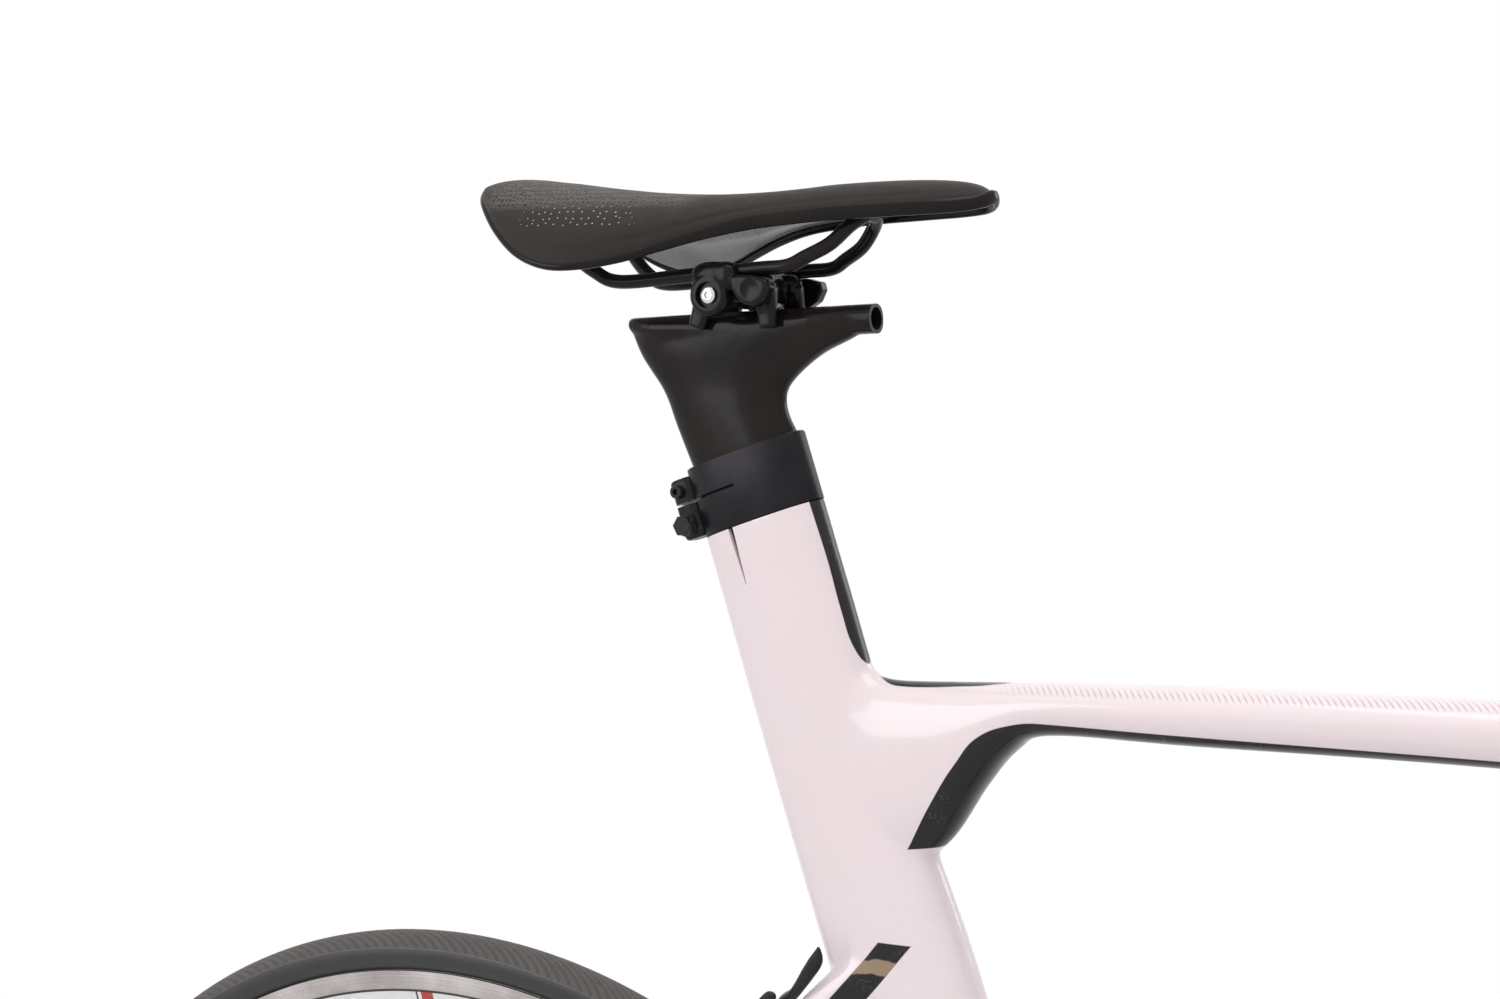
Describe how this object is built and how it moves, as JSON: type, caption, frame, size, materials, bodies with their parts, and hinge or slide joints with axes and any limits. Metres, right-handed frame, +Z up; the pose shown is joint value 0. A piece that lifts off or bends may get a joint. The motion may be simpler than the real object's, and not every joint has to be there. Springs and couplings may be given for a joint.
{
  "type": "road bike",
  "caption": "Road racing bicycle with drop handlebar, rim brakes, derailleur gears, an aero frame and aero seatpost, and a slim padded saddle on rails.",
  "frame": {"origin": "on the ground, midway between the two wheel axles, in the middle plane", "axes": "+X forward along the bicycle, +Y to the rider's left, +Z up"},
  "size_m": [1.655, 0.448, 1.066],
  "materials": {
    "white_paint": "gloss white with a black stripe",
    "gloss_black": "gloss black carbon composite",
    "black_metal": "gloss black",
    "anodised_black": "satin black anodised",
    "saddle_cover": "matte black microfibre over foam",
    "bar_tape": "matte black cork tape",
    "hood_rubber": "matte black rubber",
    "tyre_rubber": "dark grey tread",
    "rim_alloy": "machined brake track",
    "silver": "polished",
    "steel": "bright steel",
    "black_plastic": "matte black"
  },
  "bodies": {
    "bicycle_frame": {"frame": "white_paint", "seat_clamp_band": "anodised_black", "seat_clamp_upper_bolt": "black_metal", "seat_clamp_lower_bolt": "black_metal", "headset_lower_bearing": "steel", "headset_upper_bearing": "steel", "bottom_bracket_cup_right": "anodised_black", "bottom_bracket_cup_left": "anodised_black", "rear_axle": "steel", "front_derailleur_body": "silver", "derailleur_upper_knuckle": "black_metal", "chain": "steel"},
    "seatpost_body": {"seatpost": "gloss_black"},
    "saddle_clamp_body": {"saddle_cradle": "black_metal", "rail_clamp_right": "black_metal", "rail_clamp_left": "black_metal", "rail_clamp_bolt": "steel"},
    "saddle_body": {"saddle_rails": "black_metal", "saddle_shell": "gloss_black", "saddle_cover": "saddle_cover"},
    "steering_body": {"fork": "white_paint", "headset_spacer": "anodised_black", "headset_top_cap": "anodised_black", "stem": "anodised_black", "stem_faceplate": "anodised_black", "handlebar": "anodised_black", "bar_tape_right": "bar_tape", "bar_tape_left": "bar_tape", "hood_right": "hood_rubber", "hood_left": "hood_rubber", "front_axle": "steel"},
    "front_wheel_body": {"front_tyre": "tyre_rubber", "front_rim": "rim_alloy", "front_hub_and_spokes": "steel"},
    "front_release_body": {"front_release_lever": "silver"},
    "front_brake_right_body": {"front_brake_arm_right": "black_metal"},
    "front_brake_left_body": {"front_brake_arm_left": "black_metal"},
    "brake_lever_right_body": {"brake_lever_right": "gloss_black"},
    "brake_lever_left_body": {"brake_lever_left": "gloss_black"},
    "shift_paddle_right_body": {"shift_paddle_right": "gloss_black"},
    "shift_paddle_left_body": {"shift_paddle_left": "gloss_black"},
    "rear_wheel_body": {"rear_tyre": "tyre_rubber", "rear_rim": "rim_alloy", "rear_hub_and_spokes": "steel"},
    "rear_release_body": {"rear_release_lever": "silver"},
    "rear_brake_right_body": {"rear_brake_arm_right": "black_metal"},
    "rear_brake_left_body": {"rear_brake_arm_left": "black_metal"},
    "cassette_body": {"cassette": "steel"},
    "crank_body": {"crank_right": "black_metal", "crank_left": "black_metal", "chainrings": "silver"},
    "pedal_right_body": {"pedal_right": "black_plastic"},
    "pedal_left_body": {"pedal_left": "black_plastic"},
    "front_derailleur_cage_body": {"front_derailleur_cage": "silver"},
    "derailleur_link_outer_body": {"derailleur_link_outer": "black_metal"},
    "derailleur_link_inner_body": {"derailleur_link_inner": "black_metal"},
    "lower_knuckle_body": {"derailleur_lower_knuckle": "black_metal"},
    "derailleur_cage_body": {"derailleur_cage": "black_metal"},
    "guide_pulley_body": {"guide_pulley": "black_plastic"},
    "tension_pulley_body": {"tension_pulley": "black_plastic"}
  },
  "joints": [
    {"name": "seatpost_slide", "type": "slide", "parent": "bicycle_frame", "child": "seatpost_body", "axis": [-0.3206, 0, 0.9472], "range_m": [0, 0.035]},
    {"name": "saddle_tilt", "type": "hinge", "parent": "seatpost_body", "child": "saddle_clamp_body", "pos_m": [-0.31236, 0, 1.01734], "axis": [0, 1, 0], "range_deg": [-6, 6]},
    {"name": "saddle_slide", "type": "slide", "parent": "saddle_clamp_body", "child": "saddle_body", "axis": [0.9978, 0, 0.0659], "range_m": [-0.006, 0.018]},
    {"name": "steering", "type": "hinge", "parent": "bicycle_frame", "child": "steering_body", "pos_m": [0.34379, 0, 0.67435], "axis": [-0.2924, 0, 0.9563], "range_deg": [-70, 70]},
    {"name": "front_wheel", "type": "hinge", "parent": "steering_body", "child": "front_wheel_body", "pos_m": [0.4925, 0, 0.335], "axis": [0, 1, 0], "continuous": true},
    {"name": "front_release_hinge", "type": "hinge", "parent": "steering_body", "child": "front_release_body", "pos_m": [0.4925, 0.0685, 0.335], "axis": [0, 0, -1], "range_deg": [0, 160]},
    {"name": "front_brake_right_hinge", "type": "hinge", "parent": "steering_body", "child": "front_brake_right_body", "pos_m": [0.3704, 0, 0.67738], "axis": [0.9143, 0, 0.4049], "range_deg": [0, 1.6]},
    {"name": "front_brake_left_hinge", "type": "hinge", "parent": "steering_body", "child": "front_brake_left_body", "pos_m": [0.3704, 0, 0.67738], "axis": [-0.9143, 0, -0.4049], "range_deg": [0, 1.6]},
    {"name": "brake_lever_right_hinge", "type": "hinge", "parent": "steering_body", "child": "brake_lever_right_body", "pos_m": [0.49427, -0.205, 0.89443], "axis": [0, 1, 0], "range_deg": [0, 14], "stiffness_Nm_per_rad": 6},
    {"name": "brake_lever_left_hinge", "type": "hinge", "parent": "steering_body", "child": "brake_lever_left_body", "pos_m": [0.49427, 0.205, 0.89443], "axis": [0, 1, 0], "range_deg": [0, 14], "stiffness_Nm_per_rad": 6},
    {"name": "shift_paddle_right_hinge", "type": "hinge", "parent": "brake_lever_right_body", "child": "shift_paddle_right_body", "pos_m": [0.50127, -0.205, 0.86843], "axis": [1, 0, 0], "range_deg": [0, 15], "stiffness_Nm_per_rad": 1},
    {"name": "shift_paddle_left_hinge", "type": "hinge", "parent": "brake_lever_left_body", "child": "shift_paddle_left_body", "pos_m": [0.50127, 0.205, 0.86843], "axis": [-1, 0, 0], "range_deg": [0, 15], "stiffness_Nm_per_rad": 1},
    {"name": "rear_wheel", "type": "hinge", "parent": "bicycle_frame", "child": "rear_wheel_body", "pos_m": [-0.4925, 0, 0.335], "axis": [0, 1, 0], "continuous": true},
    {"name": "rear_release_hinge", "type": "hinge", "parent": "bicycle_frame", "child": "rear_release_body", "pos_m": [-0.4925, 0.0835, 0.335], "axis": [0, 0, -1], "range_deg": [0, 160]},
    {"name": "rear_brake_right_hinge", "type": "hinge", "parent": "bicycle_frame", "child": "rear_brake_right_body", "pos_m": [-0.29841, 0, 0.64142], "axis": [0.8258, 0, -0.5639], "range_deg": [0, 1.6]},
    {"name": "rear_brake_left_hinge", "type": "hinge", "parent": "bicycle_frame", "child": "rear_brake_left_body", "pos_m": [-0.29841, 0, 0.64142], "axis": [-0.8258, 0, 0.5639], "range_deg": [0, 1.6]},
    {"name": "cassette_spin", "type": "hinge", "parent": "bicycle_frame", "child": "cassette_body", "pos_m": [-0.4925, 0, 0.335], "axis": [0, 1, 0], "continuous": true},
    {"name": "crank_spin", "type": "hinge", "parent": "bicycle_frame", "child": "crank_body", "pos_m": [-0.09359, 0, 0.265], "axis": [0, 1, 0], "continuous": true},
    {"name": "pedal_right_spin", "type": "hinge", "parent": "crank_body", "child": "pedal_right_body", "pos_m": [0.07891, -0.069, 0.265], "axis": [0, 1, 0], "continuous": true},
    {"name": "pedal_left_spin", "type": "hinge", "parent": "crank_body", "child": "pedal_left_body", "pos_m": [-0.2661, 0.069, 0.265], "axis": [0, 1, 0], "continuous": true},
    {"name": "front_derailleur_hinge", "type": "hinge", "parent": "bicycle_frame", "child": "front_derailleur_cage_body", "pos_m": [-0.13659, -0.031, 0.412], "axis": [1, 0, 0], "range_deg": [0, 9]},
    {"name": "derailleur_link_outer_hinge", "type": "hinge", "parent": "bicycle_frame", "child": "derailleur_link_outer_body", "pos_m": [-0.4685, -0.081, 0.298], "axis": [1, 0, 0], "range_deg": [-17, 36], "deforming": ["chain"]},
    {"name": "derailleur_link_inner_hinge", "type": "hinge", "parent": "bicycle_frame", "child": "derailleur_link_inner_body", "pos_m": [-0.4685, -0.073, 0.298], "axis": [1, 0, 0], "range_deg": [-17, 36]},
    {"name": "lower_knuckle_hinge", "type": "hinge", "parent": "derailleur_link_outer_body", "child": "lower_knuckle_body", "pos_m": [-0.4685, -0.071, 0.258], "axis": [1, 0, 0], "range_deg": [-36, 17]},
    {"name": "derailleur_cage_hinge", "type": "hinge", "parent": "lower_knuckle_body", "child": "derailleur_cage_body", "pos_m": [-0.4785, -0.047, 0.246], "axis": [0, 1, 0], "range_deg": [-25, 35], "stiffness_Nm_per_rad": 0.6, "deforming": ["chain"]},
    {"name": "guide_pulley_spin", "type": "hinge", "parent": "derailleur_cage_body", "child": "guide_pulley_body", "pos_m": [-0.4785, -0.047, 0.246], "axis": [0, 1, 0], "continuous": true},
    {"name": "tension_pulley_spin", "type": "hinge", "parent": "derailleur_cage_body", "child": "tension_pulley_body", "pos_m": [-0.45483, -0.047, 0.19525], "axis": [0, 1, 0], "continuous": true}
  ],
  "couplings": [
    {"joint": "front_brake_right_hinge", "follows": "brake_lever_left_hinge", "ratio": 0.11428},
    {"joint": "front_brake_left_hinge", "follows": "brake_lever_left_hinge", "ratio": 0.11428},
    {"joint": "rear_brake_right_hinge", "follows": "brake_lever_right_hinge", "ratio": 0.11428},
    {"joint": "rear_brake_left_hinge", "follows": "brake_lever_right_hinge", "ratio": 0.11428},
    {"joint": "cassette_spin", "follows": "crank_spin", "ratio": 3.3333},
    {"joint": "guide_pulley_spin", "follows": "crank_spin", "ratio": -4.5454},
    {"joint": "tension_pulley_spin", "follows": "crank_spin", "ratio": 4.5454},
    {"joint": "derailleur_link_inner_hinge", "follows": "derailleur_link_outer_hinge", "ratio": 1},
    {"joint": "lower_knuckle_hinge", "follows": "derailleur_link_outer_hinge", "ratio": -1}
  ]
}
